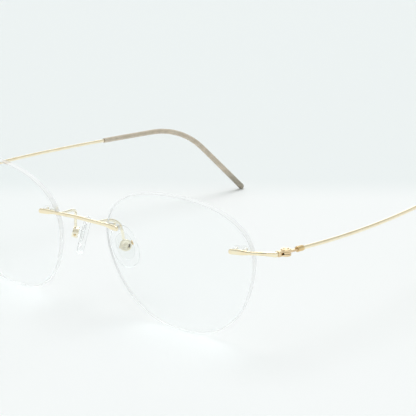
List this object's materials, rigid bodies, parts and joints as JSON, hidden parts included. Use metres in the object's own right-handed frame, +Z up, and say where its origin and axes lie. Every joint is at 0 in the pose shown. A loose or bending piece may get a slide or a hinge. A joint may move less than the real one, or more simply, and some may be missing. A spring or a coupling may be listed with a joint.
{
  "type": "rimless eyeglasses",
  "caption": "Rimless eyeglasses: clear lenses pinned to a thin metal bridge and end pieces, rocking nose pads, and wire temples that fold on screw hinges.",
  "frame": {"origin": "middle of the open frame's footprint, on the surface that the lens edges and temple tips stand on", "axes": "+X the wearer's left, +Y back along the temples, lenses facing -Y, +Z up"},
  "size_m": [0.1408, 0.1486, 0.0414],
  "materials": {
    "gold_metal": "polished champagne gold plating",
    "clear_lens": "clear polished lens, ground edge",
    "pad_silicone": "translucent soft silicone",
    "clear_plastic": "clear moulded plastic",
    "taupe_sleeve": "satin translucent taupe brown"
  },
  "bodies": {
    "front": {"bridge": "gold_metal", "bridge_bushing_left": "clear_plastic", "bridge_bushing_right": "clear_plastic", "bridge_pin_left_inner": "gold_metal", "bridge_pin_left_outer": "gold_metal", "bridge_pin_right_inner": "gold_metal", "bridge_pin_right_outer": "gold_metal", "endpiece_bushing_left": "clear_plastic", "endpiece_bushing_right": "clear_plastic", "endpiece_left": "gold_metal", "endpiece_pin_left_inner": "gold_metal", "endpiece_pin_left_outer": "gold_metal", "endpiece_pin_right_inner": "gold_metal", "endpiece_pin_right_outer": "gold_metal", "endpiece_right": "gold_metal", "hinge_fork_left": "gold_metal", "hinge_fork_right": "gold_metal", "hinge_screw_left": "gold_metal", "hinge_screw_right": "gold_metal", "lens_left": "clear_lens", "lens_right": "clear_lens", "pad_arm_left": "gold_metal", "pad_arm_right": "gold_metal", "pad_box_left": "gold_metal", "pad_box_right": "gold_metal", "pad_screw_left": "gold_metal", "pad_screw_right": "gold_metal"},
    "temple_left": {"hinge_tongue_left": "gold_metal", "temple_collar_left": "gold_metal", "temple_tip_left": "taupe_sleeve", "temple_wire_left": "gold_metal"},
    "temple_right": {"hinge_tongue_right": "gold_metal", "temple_collar_right": "gold_metal", "temple_tip_right": "taupe_sleeve", "temple_wire_right": "gold_metal"},
    "pad_left": {"nose_pad_left": "pad_silicone", "pad_insert_left": "clear_plastic"},
    "pad_right": {"nose_pad_right": "pad_silicone", "pad_insert_right": "clear_plastic"}
  },
  "joints": [
    {"name": "temple_left_fold", "type": "hinge", "parent": "front", "child": "temple_left", "pos_m": [0.067, -0.06246, 0.0286], "axis": [0, 0, 1], "range_deg": [0, 77]},
    {"name": "temple_right_fold", "type": "hinge", "parent": "front", "child": "temple_right", "pos_m": [-0.067, -0.06246, 0.0286], "axis": [0, 0, -1], "range_deg": [0, 84]},
    {"name": "pad_left_rock", "type": "hinge", "parent": "front", "child": "pad_left", "pos_m": [0.0105, -0.06376, 0.0204], "axis": [-0.5465, -0.7804, -0.3038], "range_deg": [-8, 8]},
    {"name": "pad_right_rock", "type": "hinge", "parent": "front", "child": "pad_right", "pos_m": [-0.0105, -0.06376, 0.0204], "axis": [-0.5465, 0.7804, 0.3038], "range_deg": [-8, 8]}
  ]
}
